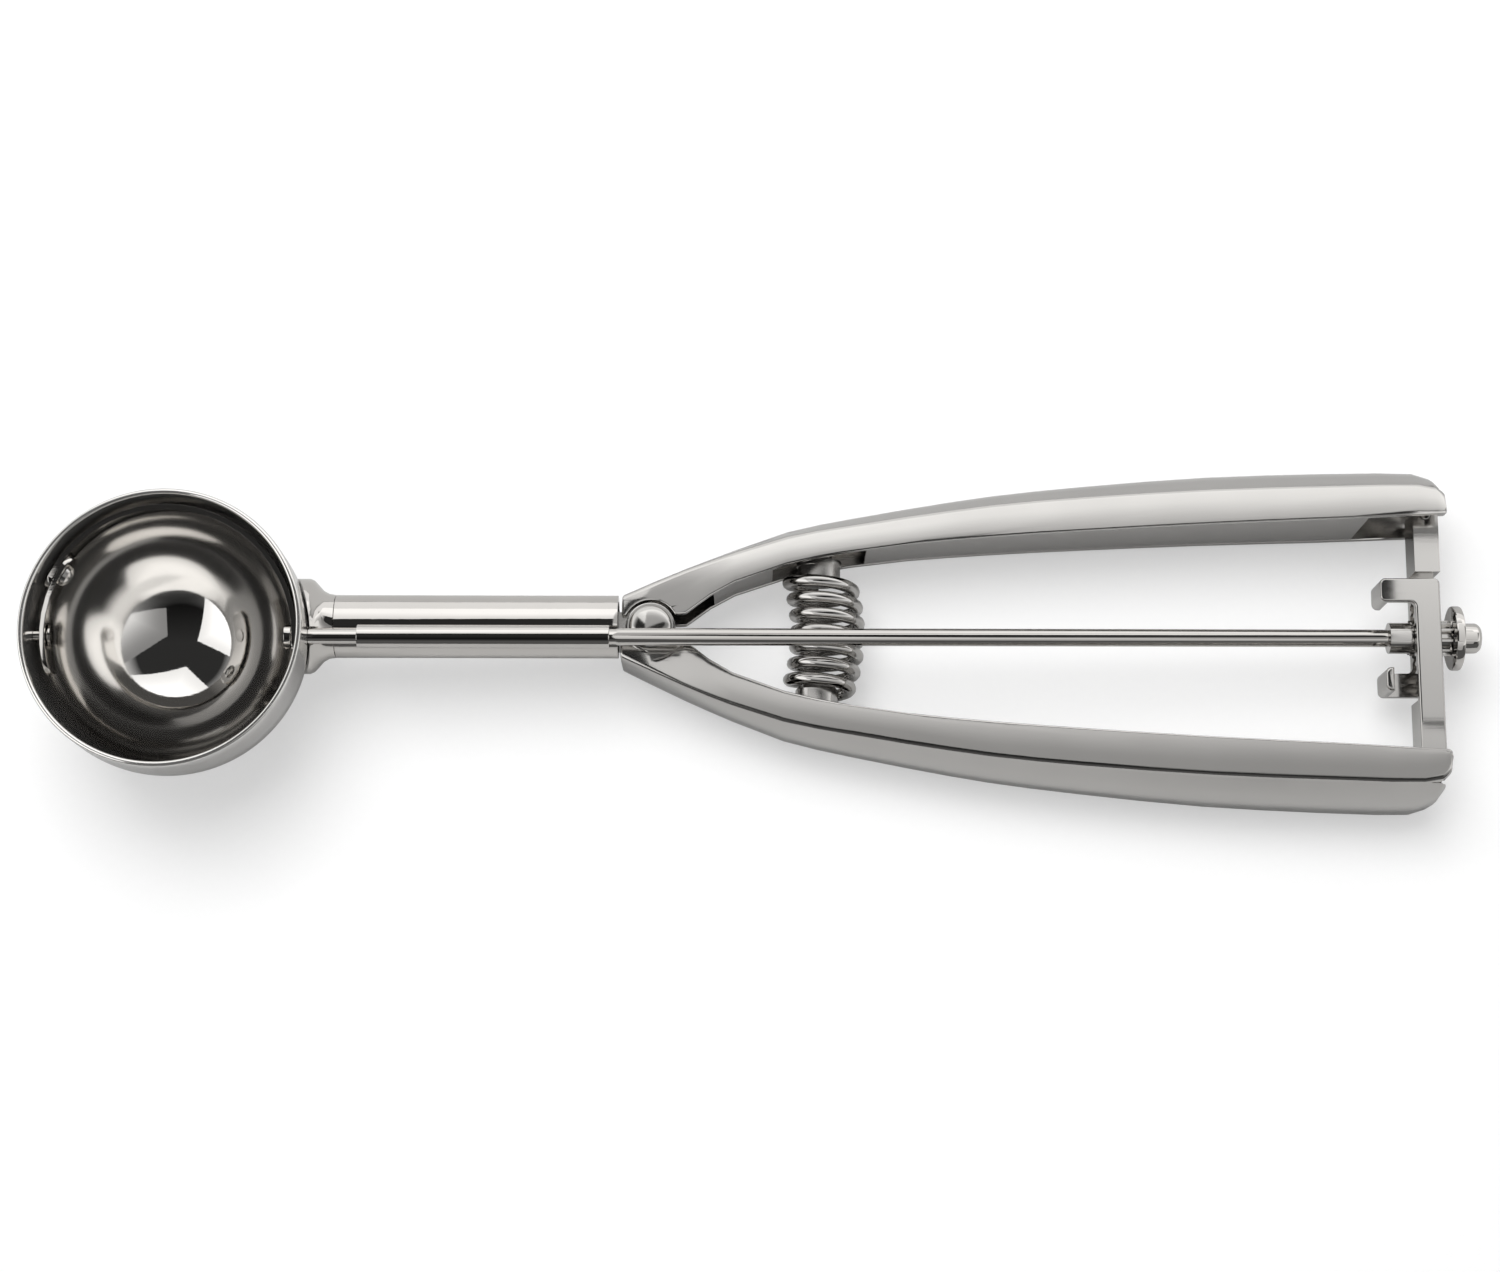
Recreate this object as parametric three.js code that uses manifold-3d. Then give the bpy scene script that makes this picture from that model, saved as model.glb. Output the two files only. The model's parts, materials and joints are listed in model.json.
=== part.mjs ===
// Squeeze-handle food scoop: hinged handles, spring, rack-and-pinion drive and a sweeping blade.
// Millimetres, +X from bowl to handle ends, +Z up out of the bowl.
// Drawn about the rod axis with x = 0 at the bowl's centre, then moved to the middle of its base.
import * as THREE from "three";
import { mergeVertices } from "three/addons/utils/BufferGeometryUtils.js";
import Module from "manifold-3d";

const wasm = await Module();
wasm.setup();

// Bowl
const BOWL_OUTER_R = 20;
const BOWL_WALL = 0.8;
const BOWL_SKIRT = 7; // height of the straight wall above the rod axis
const BOWL_INNER_R = BOWL_OUTER_R - BOWL_WALL;

// Clearances
const FIT = 0.15; // round pieces in their holes, all round
const GAP = 0.3; // pieces that lie side by side

// Rod and its guide
const ROD_R = 1.25;
const ROD_FRONT_R = 1.1;
const GUIDE_WALL = 0.4;
const GUIDE_R = ROD_FRONT_R + FIT + GUIDE_WALL;
const GUIDE_START = 7; // from the bowl wall

// Neck
const NECK_R = 4.55;
const NECK_WALL = 0.9;
const NECK_LENGTH = 40.2;
const NECK_SIDE = 2.6; // neck axis beside the rod axis
const NECK_PLUG = 8.4; // length of the tang inside the neck
const NECK_SPIGOT = 5; // length of the collar inside the neck
const NECK_NOTCH = 2.6; // relief for the rod at the neck's rear end
const NOTCH_WIDE = 2.4;
const NOTCH_DEEP = 2.5;
const NECK_START = BOWL_OUTER_R + 3.3;
const NECK_END = NECK_START + NECK_LENGTH;
const NECK_SPACING = NECK_R + GUIDE_R + 0.12;
const NECK_DROP = Math.sqrt(NECK_SPACING ** 2 - NECK_SIDE ** 2);
const COLLAR_FLARE_R = 6.9;

// Pivot
const PIVOT_X = NECK_END + 5.25;
const PIVOT_SIDE = 2.1; // pivot beside the rod axis
const TANG_WIDE = 4.8;
const EAR_R = 3.6;
const EAR_THICK = 1.15;
const RIVET_R = 1.6;
const RIVET_HEAD_R = 3.1;
const RIVET_HEAD_HIGH = 1.15;

// Handles, measured along their centre line from the pivot
const SHEET = 1;
const HANDLE_TOP_AT_PIVOT = -2.85;
const HANDLE_DEEP_AT_PIVOT = 9.4;
const HANDLE_TOP_RISE = 9;
const HANDLE_BASE_RISE = 2.2;
const HANDLE_LENGTH = 113;
const TOP_CROWN = 0.65; // drop of the top face at its outer edge
const SHOULDER_R = 0.9; // rounding from the top face to the outer wall
const RACK_PIN_BACK = 2.1; // from the handle's end
const RACK_PIN_ALONG = HANDLE_LENGTH - RACK_PIN_BACK;
const COVER_THICK = 0.8;
const COVER_START = 9;
const COVER_BACK = 10.7; // from the handle's end
const COVER_END = HANDLE_LENGTH - COVER_BACK;

// Plan of one handle: half gap to its partner, width of its top face, and bulge of its outer wall
const PLAN = {
  nose: { along: -4.2, gap: 1.6, width: 3.1, bulge: 0.15 },
  pivot: { along: 0, gap: 1.6, width: 5.0, bulge: 0.3 },
  throat: { along: 5, gap: 1.9, width: 6.9, bulge: 0.45 },
  fork: { along: 8.5, gap: 4.6, width: 5.6, bulge: 0.6 },
  shoulder: { along: 12, gap: 6.6, width: 4.9, bulge: 0.8 },
  springNear: { along: 19.5, gap: 9.25, width: 4.6, bulge: 1.3 },
  springFar: { along: 29, gap: 11.2, width: 4.4, bulge: 1.7 },
  waist: { along: 37, gap: 12.3, width: 4.6, bulge: 1.9 },
  swell: { along: 49, gap: 13.4, width: 5.2, bulge: 2.2 },
  grip: { along: 62, gap: 14.3, width: 5.5, bulge: 2.5 },
  palm: { along: 80, gap: 15.35, width: 5.6, bulge: 2.9 },
  heel: { along: 97, gap: 16.1, width: 5.4, bulge: 3.0 },
  tail: { along: HANDLE_LENGTH - 8.3, gap: 16.5, width: 5.2, bulge: 2.95 },
  corner: { along: HANDLE_LENGTH - 3.8, gap: 16.75, width: 4.95, bulge: 2.85 },
  round: { along: HANDLE_LENGTH - 1.2, gap: 16.88, width: 4.3, bulge: 2.5 },
  end: { along: HANDLE_LENGTH, gap: 16.92, width: 3.2, bulge: 1.8 },
};

// Spring
const SPRING_ALONG = 24.2;
const SPRING_COIL_R = 4.6; // to the middle of the wire
const SPRING_WIRE_R = 0.9;
const SPRING_TURNS = 7;
const SPRING_BOW = 1.4;

// Rack and pinion
const PINION_TEETH = 10;
const PINION_PITCH_R = 2.2;
const SLEEVE_R = 2.2; // smooth part of the pinion in front of the racks
const TOOTH_TIP = 0.36; // tooth height outside the pitch line
const TOOTH_ROOT = 0.5; // tooth depth inside it
const TOOTH_SHARE = 0.4; // tooth width at the pitch line, of one pitch
const RACK_WIDE = 3.6;
const WASHER_THICK = 1.3;
const RACK_THICK = 1.2;
const RACK_FREE_END = 8; // past the rod axis
const RACK_TAB_LONG = 4.9;
const RACK_TAB_WIDE = 3.4;
const RACK_CORNER = 0.8;
const RACK_PIN_R = 0.75;
const RACK_PIN_IN = 1.05; // from the handle's inner edge
const RACK_TRAVEL = 6.4; // of each rack from rest to squeezed

// Blade
const BLADE_THICK = 0.7;
const BLADE_WIDE = 5;
const BLADE_TILT = 10; // degrees above level at rest
const STRAP_START = 140; // degrees round from the rod
const STRAP_END = 199;
const BLADE_END = 159;
const BLADE_RIVET_AT = 150;
const PIN_R = 0.9;
const PIN_HEAD = 0.35; // its head inside the bowl
const HUB_LONG = 1;
const BLADE_R = BOWL_INNER_R - 0.5; // outside of the blade

const radians = THREE.MathUtils.degToRad;

// Solid geometry helpers
function solidOf(geometry) {
  const bare = geometry.clone();
  bare.deleteAttribute("normal");
  bare.deleteAttribute("uv");
  const merged = mergeVertices(bare, 1e-4);
  const from = merged.index.array;
  const kept = [];
  for (let i = 0; i < from.length; i += 3) {
    const [a, b, c] = [from[i], from[i + 1], from[i + 2]];
    if (a !== b && b !== c && a !== c) kept.push(a, b, c);
  }
  const points = merged.attributes.position.array;
  const make = (tris) =>
    new wasm.Manifold(
      new wasm.Mesh({ numProp: 3, vertProperties: points, triVerts: new Uint32Array(tris) }),
    );
  const made = make(kept);
  if (made.volume() > 0) return made;
  const turned = [];
  for (let i = 0; i < kept.length; i += 3) turned.push(kept[i], kept[i + 2], kept[i + 1]);
  return make(turned);
}

function geometryOf(solid) {
  const mesh = solid.getMesh();
  const points = new Float32Array(mesh.numVert * 3);
  for (let i = 0; i < mesh.numVert; i++) {
    points.set(mesh.vertProperties.subarray(i * mesh.numProp, i * mesh.numProp + 3), i * 3);
  }
  const geometry = new THREE.BufferGeometry();
  geometry.setAttribute("position", new THREE.BufferAttribute(points, 3));
  geometry.setIndex(new THREE.BufferAttribute(new Uint32Array(mesh.triVerts), 1));
  geometry.computeVertexNormals();
  return geometry;
}

// A profile of (radius, height) points turned about an axis
function turned(profile, sides, axis) {
  const points = profile.map(([r, h]) => new THREE.Vector2(r, h));
  const geometry = new THREE.LatheGeometry([...points, points[0].clone()], sides);
  if (axis === "x") geometry.rotateZ(-Math.PI / 2);
  if (axis === "z") geometry.rotateX(Math.PI / 2);
  return solidOf(geometry);
}

function rod(r, from, to, sides, axis) {
  return turned([[0, from], [r, from], [r, to], [0, to]], sides, axis);
}

function tube(r, bore, from, to, sides, axis) {
  return turned([[bore, from], [r, from], [r, to], [bore, to]], sides, axis);
}

function box(x0, x1, y0, y1, z0, z1) {
  const geometry = new THREE.BoxGeometry(x1 - x0, y1 - y0, z1 - z0);
  return solidOf(geometry.translate((x0 + x1) / 2, (y0 + y1) / 2, (z0 + z1) / 2));
}

// Rings of points joined into one closed body, with each end closed by a fan from its middle
function loft(rings) {
  const count = rings[0].length;
  const ends = [rings[0], rings.at(-1)].map((ring) => {
    const sum = ring.reduce((total, p) => total.add(p), new THREE.Vector3());
    return sum.divideScalar(count);
  });
  const points = [...rings.flat(), ...ends].flatMap((p) => [p.x, p.y, p.z]);
  const tris = [];
  for (let i = 0; i + 1 < rings.length; i++) {
    for (let j = 0; j < count; j++) {
      const k = (j + 1) % count;
      const [a, b] = [i * count + j, i * count + k];
      tris.push(a, b, b + count, a, b + count, a + count);
    }
  }
  const last = (rings.length - 1) * count;
  const middle = rings.length * count;
  for (let j = 0; j < count; j++) {
    const k = (j + 1) % count;
    tris.push(middle, k, j, middle + 1, last + j, last + k);
  }
  const geometry = new THREE.BufferGeometry();
  geometry.setAttribute("position", new THREE.Float32BufferAttribute(points, 3));
  geometry.setIndex(tris);
  return solidOf(geometry);
}

const scoop = new THREE.Group();

function add(name, solid, colour, roughness, parent = scoop) {
  const material = new THREE.MeshStandardMaterial({ color: colour, metalness: 1, roughness });
  const mesh = new THREE.Mesh(geometryOf(solid), material);
  mesh.name = name;
  parent.add(mesh);
  return mesh;
}

// Bowl: hemisphere with a straight skirt, holes on the rod axis at both sides
const BOWL_SIDES = 48;
function arc(r, steps, fromDeg, toDeg) {
  return Array.from({ length: steps + 1 }, (_, i) => {
    const a = radians(fromDeg + ((toDeg - fromDeg) * i) / steps);
    return [r * Math.sin(a), -r * Math.cos(a)];
  });
}
const bowlProfile = [
  ...arc(BOWL_OUTER_R, 9, 0, 90),
  [BOWL_OUTER_R, BOWL_SKIRT - 0.25],
  [BOWL_OUTER_R - 0.2, BOWL_SKIRT],
  [BOWL_INNER_R + 0.2, BOWL_SKIRT],
  [BOWL_INNER_R, BOWL_SKIRT - 0.25],
  ...arc(BOWL_INNER_R, 9, 90, 0),
];
const bowl = turned(bowlProfile, BOWL_SIDES, "z")
  .subtract(rod(ROD_FRONT_R + 2 * FIT, BOWL_OUTER_R - 3, BOWL_OUTER_R + 3, 16, "x"))
  .subtract(rod(PIN_R + FIT, -BOWL_OUTER_R - 3, -BOWL_OUTER_R + 3, 16, "x"));
add("bowl", bowl, 0xdfe2e4, 0.05);

// Collar: a trumpet that carries the bowl on the neck, with a spigot inside the neck
const collarProfile = [
  [0, BOWL_OUTER_R - 6],
  [COLLAR_FLARE_R, BOWL_OUTER_R - 6],
  [COLLAR_FLARE_R, BOWL_OUTER_R - 0.6],
  [COLLAR_FLARE_R - 0.25, BOWL_OUTER_R],
  [COLLAR_FLARE_R - 0.9, BOWL_OUTER_R + 0.6],
  [NECK_R + 0.65, BOWL_OUTER_R + 1.3],
  [NECK_R + 0.15, BOWL_OUTER_R + 2.2],
  [NECK_R, NECK_START - 0.12],
  [NECK_R - NECK_WALL - FIT, NECK_START - 0.12],
  [NECK_R - NECK_WALL - FIT, NECK_START + NECK_SPIGOT],
  [0, NECK_START + NECK_SPIGOT],
];
const rodPath = rod(ROD_FRONT_R + 2 * FIT, 0, NECK_END, 16, "x");
const ROOM_R = BOWL_OUTER_R + GAP;
const bowlRoom = turned([...arc(ROOM_R, 12, 0, 90), [ROOM_R, ROOM_R], [0, ROOM_R]], BOWL_SIDES, "z");
const collar = turned(collarProfile, 32, "x")
  .translate(0, NECK_SIDE, -NECK_DROP)
  .subtract(bowlRoom)
  .subtract(rodPath);
add("bowl_collar", collar, 0xd4d7d9, 0.12);

const rodNotch = () =>
  box(NECK_END - NECK_NOTCH, NECK_END + NECK_NOTCH, -0.5, NOTCH_WIDE - 0.5, -ROD_R - NOTCH_DEEP, 0);
// Neck tube with a relief for the rod near its rear end
const neck = tube(NECK_R, NECK_R - NECK_WALL, NECK_START, NECK_END, 32, "x")
  .translate(0, NECK_SIDE, -NECK_DROP)
  .subtract(rodNotch());
add("neck_tube", neck, 0xd4d7d9, 0.16);

const GUIDE_FROM = BOWL_OUTER_R + GUIDE_START;
const guide = tube(GUIDE_R, ROD_FRONT_R + FIT, GUIDE_FROM, NECK_END - 0.5, 20, "x");
add("guide_tube", guide, 0xcfd2d4, 0.14);

// Handle frame: the centre line runs from the pivot to the rod's end
const HANDLE_TURN = Math.atan2(PIVOT_SIDE, RACK_PIN_ALONG);
const topAt = (along) => HANDLE_TOP_AT_PIVOT + (HANDLE_TOP_RISE * along) / HANDLE_LENGTH;
const baseAt = (along) =>
  HANDLE_TOP_AT_PIVOT - HANDLE_DEEP_AT_PIVOT + (HANDLE_BASE_RISE * along) / HANDLE_LENGTH;

const plan = Object.values(PLAN);
function curveOf(key) {
  const last = plan.length - 1;
  return (along) => {
    let i = 0;
    while (i < last - 1 && plan[i + 1].along < along) i++;
    const [a, b] = [plan[i], plan[i + 1]];
    const slope = (j) => {
      const [p, q] = [plan[Math.max(j - 1, 0)], plan[Math.min(j + 1, last)]];
      return (q[key] - p[key]) / (q.along - p.along);
    };
    const span = b.along - a.along;
    const t = (along - a.along) / span;
    const h = t * t * (3 - 2 * t);
    const lead = (t - 1) * (t - 1) * t * span * slope(i);
    const trail = t * t * (t - 1) * span * slope(i + 1);
    return a[key] * (1 - h) + b[key] * h + lead + trail;
  };
}
const gapAt = curveOf("gap");
const widthAt = curveOf("width");
const bulgeAt = curveOf("bulge");

// Stations along the handle: each one of the plan and one or two between
function stationsBetween(from, to) {
  const list = [];
  for (let i = 0; i + 1 < plan.length; i++) {
    const [a, b] = [plan[i].along, plan[i + 1].along];
    const parts = b - a > 9 ? 2 : 1;
    for (let j = 0; j < parts; j++) list.push(a + ((b - a) * j) / parts);
  }
  list.push(HANDLE_LENGTH);
  return [from, ...list.filter((s) => s > from + 0.4 && s < to - 0.4), to];
}

const WALL_STEPS = 8;
const TOP_STEPS = 4;
const SHOULDER_ARC = [0, 30, 60, 90].map(radians);
// The top face falls away to its outer edge, but is level round the pivot
const crownAt = (along) => {
  return TOP_CROWN * THREE.MathUtils.smoothstep(along, PLAN.pivot.along, PLAN.shoulder.along);
};
// Swell of the outer wall from top (0) to base (1): quick at the top, full low down, eased at the base edge
function wallFullness(t) {
  if (t < 0.45) return Math.pow(Math.sin((Math.PI * t) / 0.9), 0.8);
  return 1 - 0.3 * Math.pow(Math.max(0, t - 0.7) / 0.3, 2);
}
// One section of the handle: mouth is how far past the inner edge it reaches, skin is taken off its outside
function handleRing(along, side, mouth, skin) {
  const [top, base] = [topAt(along) - skin, baseAt(along) + skin];
  const inner = gapAt(along) - mouth;
  const outer = gapAt(along) + widthAt(along) - skin;
  const crown = crownAt(along);
  const r = Math.max(SHOULDER_R - skin, 0.1);
  const edge = gapAt(along);
  const ring = [new THREE.Vector3(along, side * inner, top)];
  for (let i = 1; i < TOP_STEPS; i++) {
    const t = i / TOP_STEPS;
    ring.push(new THREE.Vector3(along, side * (edge + (outer - r - edge) * t), top - crown * t * t));
  }
  for (const a of SHOULDER_ARC) {
    const out = outer - r + r * Math.sin(a);
    ring.push(new THREE.Vector3(along, side * out, top - crown - r + r * Math.cos(a)));
  }
  const wallTop = top - crown - r;
  for (let i = 1; i <= WALL_STEPS; i++) {
    const t = i / WALL_STEPS;
    const out = outer + bulgeAt(along) * wallFullness(t);
    ring.push(new THREE.Vector3(along, side * out, wallTop + (base - wallTop) * t));
  }
  ring.push(new THREE.Vector3(along, side * inner, base));
  return ring;
}

const PIN_HALF = gapAt(RACK_PIN_ALONG) + RACK_PIN_IN;
const RACK_CLEAR = PINION_PITCH_R - TOOTH_TIP - GAP;
const SLAB_BASE = PINION_PITCH_R + TOOTH_ROOT;
const SLAB_TOP = SLAB_BASE + RACK_THICK;
const NOSE = PLAN.nose.along;
const EAR_TOP = HANDLE_TOP_AT_PIVOT;
const EAR_BASE = HANDLE_TOP_AT_PIVOT - HANDLE_DEEP_AT_PIVOT;

// The space inside a handle, open at its nose and its mouth
function handleRoom(side, mouth, skin) {
  const stations = stationsBetween(NOSE, HANDLE_LENGTH - skin - 0.2);
  const rings = stations.map((s) => handleRing(s, side, mouth, skin));
  const nearest = rings[0].map((p) => p.clone().setX(NOSE - 2));
  return loft([nearest, ...rings]);
}

function handleShell(side) {
  const outside = loft(stationsBetween(NOSE, HANDLE_LENGTH).map((s) => handleRing(s, side, 0, 0)));
  const hollow = handleRoom(side, 4, SHEET);
  // The lower handle's ear lies on top of the tang, the upper handle's ear under it
  const onTop = side < 0;
  const earFrom = onTop ? EAR_TOP - EAR_THICK : EAR_BASE;
  const earTo = earFrom + EAR_THICK;
  const cutFrom = onTop ? EAR_BASE - 1 : EAR_TOP - EAR_THICK - GAP;
  const cutTo = onTop ? EAR_BASE + EAR_THICK + GAP : EAR_TOP + 2;
  const bore = rod(RIVET_R + FIT, EAR_BASE - 3, EAR_TOP + 3, 20, "z");
  const ear = rod(EAR_R, earFrom, earTo, 32, "z");
  const shelf = rod(EAR_R + GAP + RIVET_HEAD_HIGH, earTo, earTo + 2, 32, "z");
  const under = rod(EAR_R + GAP + RIVET_HEAD_HIGH, earFrom - 2, earFrom, 32, "z");
  // Slot in the end wall through which both racks pass, under the top face
  const reach = RACK_FREE_END + RACK_TRAVEL - (PIN_HALF - RACK_TRAVEL) + 2 * GAP;
  const [slotFrom, slotTo] = [side * (gapAt(HANDLE_LENGTH) - 1), side * (PIN_HALF + reach)];
  const slotTop = SLAB_TOP + GAP;
  const slot = box(HANDLE_LENGTH - SHEET - 2, HANDLE_LENGTH + 1, Math.min(slotFrom, slotTo),
    Math.max(slotFrom, slotTo), -slotTop, slotTop);
  return outside
    .subtract(hollow)
    .subtract(slot)
    .subtract(rod(EAR_R + GAP, cutFrom, cutTo, 32, "z"))
    .subtract(side < 0 ? shelf : under)
    .add(ear)
    .subtract(bore);
}

const handles = new THREE.Group();
handles.position.set(PIVOT_X, PIVOT_SIDE, 0);
handles.rotation.z = -HANDLE_TURN;
scoop.add(handles);

// Inner cover of the handle, in two lengths with the spring between them
const WINDOW = SPRING_COIL_R + SPRING_WIRE_R + 1.2;
function coverRing(along, side) {
  const [top, base] = [topAt(along) - SHEET - GAP / 2, baseAt(along) + SHEET + GAP / 2];
  const [near, far] = [gapAt(along) + 0.1, gapAt(along) + 0.1 + COVER_THICK];
  return [
    new THREE.Vector3(along, side * near, top),
    new THREE.Vector3(along, side * far, top),
    new THREE.Vector3(along, side * far, base),
    new THREE.Vector3(along, side * near, base),
  ];
}
const cover = (from, to, side) => loft(stationsBetween(from, to).map((s) => coverRing(s, side)));

// Spring seat: a foot on the outer wall, a plate for the coil and a peg inside the coil
const SEAT_FACE = gapAt(SPRING_ALONG) - 0.2;
const SEAT_FOOT = SEAT_FACE + widthAt(SPRING_ALONG) + bulgeAt(SPRING_ALONG);
const SPRING_INNER_R = SPRING_COIL_R - SPRING_WIRE_R;
const SPRING_Z = -ROD_R - GAP - SPRING_COIL_R - SPRING_WIRE_R - 0.15;
const SEAT_R = Math.min(SPRING_COIL_R, SPRING_Z - SHEET - GAP - baseAt(SPRING_ALONG));
function springSeat(side) {
  const profile = [
    [0, SEAT_FACE - 2.6],
    [SPRING_INNER_R - 1.1, SEAT_FACE - 2.6],
    [SPRING_INNER_R - 0.6, SEAT_FACE - 2],
    [SPRING_INNER_R - 0.6, SEAT_FACE],
    [SEAT_R, SEAT_FACE],
    [SEAT_R, SEAT_FACE + 0.8],
    [SEAT_R - 1.4, SEAT_FACE + 0.8],
    [SEAT_R - 1.4, SEAT_FOOT],
    [0, SEAT_FOOT],
  ];
  const flipped = profile.map(([r, h]) => [r, side * h]);
  const room = handleRoom(side, SEAT_FACE, SHEET + FIT);
  return turned(flipped, 20, "y").translate(SPRING_ALONG, 0, SPRING_Z).intersect(room);
}

// Pins on which the racks turn, one on the floor of the upper handle, one under the top of the lower
function rackPin(side) {
  const floor = baseAt(RACK_PIN_ALONG) + SHEET + FIT;
  const roof = topAt(RACK_PIN_ALONG) - SHEET - 2 * FIT;
  const [from, to] = side > 0 ? [floor, RACK_CLEAR] : [-RACK_CLEAR, roof];
  return rod(RACK_PIN_R, from, to, 16, "z").translate(RACK_PIN_ALONG, side * PIN_HALF, 0);
}

for (const [name, side] of [["upper", 1], ["lower", -1]]) {
  add(name + "_handle", handleShell(side), 0xcdd0d3, 0.2, handles);
  add(name + "_front_cover", cover(COVER_START, SPRING_ALONG - WINDOW, side), 0xb4b7ba, 0.3, handles);
  add(name + "_rear_cover", cover(SPRING_ALONG + WINDOW, COVER_END, side), 0xb4b7ba, 0.3, handles);
  add(name + "_spring_seat", springSeat(side), 0xaeb1b4, 0.3, handles);
  add(name + "_rack_pin", rackPin(side), 0xc4c7ca, 0.25, handles);
}

// Tang: plugs into the neck and carries the pivot between the two ears
const TANG_TOP = EAR_TOP - EAR_THICK - GAP;
const TANG_BASE = Math.max(EAR_BASE + EAR_THICK + GAP, -NECK_DROP - NECK_R + 0.1);
const PLUG_R = NECK_R - NECK_WALL - FIT;
const TANG_SIDE = PIVOT_SIDE + TANG_WIDE / 2;
const tangFlat = rod(EAR_R - 0.4, TANG_BASE, TANG_TOP, 24, "z")
  .translate(PIVOT_X, PIVOT_SIDE, 0)
  .add(box(NECK_END - 1, PIVOT_X, TANG_SIDE - TANG_WIDE, TANG_SIDE, TANG_BASE, TANG_TOP));
const bore = tube(2 * NECK_R, PLUG_R, NECK_END - NECK_NOTCH, NECK_END + 0.2, 32, "x");
const tang = tangFlat
  .subtract(bore.translate(0, NECK_SIDE, -NECK_DROP))
  .add(rod(PLUG_R, NECK_END - 0.6 - NECK_PLUG, NECK_END - 0.6, 24, "x").translate(0, NECK_SIDE, -NECK_DROP))
  .subtract(rod(RIVET_R + FIT, EAR_BASE - 3, EAR_TOP + 3, 20, "z").translate(PIVOT_X, PIVOT_SIDE, 0))
  .subtract(rodNotch());
add("pivot_tang", tang, 0xb8bbbe, 0.3);

// Pivot rivet: domed head over the ears, flat head under them
const HEAD_Z = EAR_TOP + 0.1;
const FOOT_Z = EAR_BASE - 0.1;
const rivetProfile = [
  [0, FOOT_Z - 0.8],
  [RIVET_HEAD_R - 0.7, FOOT_Z - 0.8],
  [RIVET_HEAD_R - 0.4, FOOT_Z - 0.4],
  [RIVET_HEAD_R - 0.4, FOOT_Z],
  [RIVET_R, FOOT_Z],
  [RIVET_R, HEAD_Z],
  [RIVET_HEAD_R, HEAD_Z],
  [RIVET_HEAD_R * 0.94, HEAD_Z + RIVET_HEAD_HIGH * 0.4],
  [RIVET_HEAD_R * 0.76, HEAD_Z + RIVET_HEAD_HIGH * 0.73],
  [RIVET_HEAD_R * 0.45, HEAD_Z + RIVET_HEAD_HIGH * 0.94],
  [0, HEAD_Z + RIVET_HEAD_HIGH],
];
add("pivot_rivet", turned(rivetProfile, 28, "z").translate(PIVOT_X, PIVOT_SIDE, 0), 0xe4e6e8, 0.1);

// Rod with its pinion, washer and end cap
const RACK_X = PIVOT_X + RACK_PIN_ALONG * Math.cos(HANDLE_TURN);
const PINION_FROM = RACK_X - 5.4;
const PINION_TO = RACK_X + RACK_WIDE / 2 + 1.5;
const WASHER_FROM = PINION_TO + FIT;
const CAP_FROM = WASHER_FROM + WASHER_THICK + FIT;
const ROD_END = CAP_FROM + 1.6;
const HUB_INNER = BLADE_R - BLADE_THICK - GAP - HUB_LONG;
const rodProfile = [
  [0, HUB_INNER + 0.1],
  [ROD_FRONT_R, HUB_INNER + 0.1],
  [ROD_FRONT_R, NECK_END + 0.4],
  [ROD_R, NECK_END + 0.8],
  [ROD_R, PINION_FROM - 0.2],
  [ROD_FRONT_R, PINION_FROM - 0.2],
  [ROD_FRONT_R, ROD_END],
  [0, ROD_END],
];
add("drive_rod", turned(rodProfile, 20, "x"), 0xd9dcde, 0.08);

// A tooth outline that narrows from root to tip
const PITCH = (2 * Math.PI * PINION_PITCH_R) / PINION_TEETH;
const TIP_R = PINION_PITCH_R + TOOTH_TIP;
const ROOT_R = PINION_PITCH_R - TOOTH_ROOT;
function pinionOutline() {
  const shape = new THREE.Shape();
  for (let i = 0; i < PINION_TEETH; i++) {
    const mid = (2 * Math.PI * (i + 0.5)) / PINION_TEETH + Math.PI / 2;
    const half = (Math.PI * TOOTH_SHARE) / PINION_TEETH;
    const corners = [[ROOT_R, -1.35], [PINION_PITCH_R, -1], [TIP_R, -0.5], [TIP_R, 0.5],
      [PINION_PITCH_R, 1], [ROOT_R, 1.35]];
    for (const [r, share] of corners) {
      const a = mid + half * share;
      const begun = shape.curves.length || shape.currentPoint.length();
      if (begun) shape.lineTo(r * Math.cos(a), r * Math.sin(a));
      else shape.moveTo(r * Math.cos(a), r * Math.sin(a));
    }
  }
  shape.closePath();
  return shape;
}
// An outline in the Y-Z plane, drawn out along X
function extruded(shape, from, to) {
  const geometry = new THREE.ExtrudeGeometry(shape, { depth: to - from, bevelEnabled: false });
  const turn = new THREE.Matrix4().makeBasis(
    new THREE.Vector3(0, 1, 0),
    new THREE.Vector3(0, 0, 1),
    new THREE.Vector3(1, 0, 0),
  );
  return solidOf(geometry.applyMatrix4(turn).translate(from, 0, 0));
}
const pinionBore = rod(ROD_FRONT_R + 0.08, PINION_FROM - 1, PINION_TO + 1, 20, "x");
const TEETH_FROM = RACK_X - RACK_WIDE / 2 - PIN_HALF * Math.sin(HANDLE_TURN) - GAP;
const pinion = extruded(pinionOutline(), TEETH_FROM, PINION_TO)
  .add(rod(SLEEVE_R, PINION_FROM, TEETH_FROM + 0.2, 28, "x"))
  .subtract(pinionBore);
add("pinion", pinion, 0xc6c9cc, 0.22);
const washer = tube(4.6, ROD_FRONT_R + FIT, WASHER_FROM, WASHER_FROM + WASHER_THICK, 28, "x");
add("rod_washer", washer, 0xd6d9db, 0.12);
const capProfile = [
  [0, ROD_END + FIT],
  [ROD_FRONT_R + FIT, ROD_END + FIT],
  [ROD_FRONT_R + FIT, CAP_FROM],
  [2.15, CAP_FROM],
  [2.15, CAP_FROM + 2.2],
  [1.6, CAP_FROM + 2.8],
  [0, CAP_FROM + 2.8],
];
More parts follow.
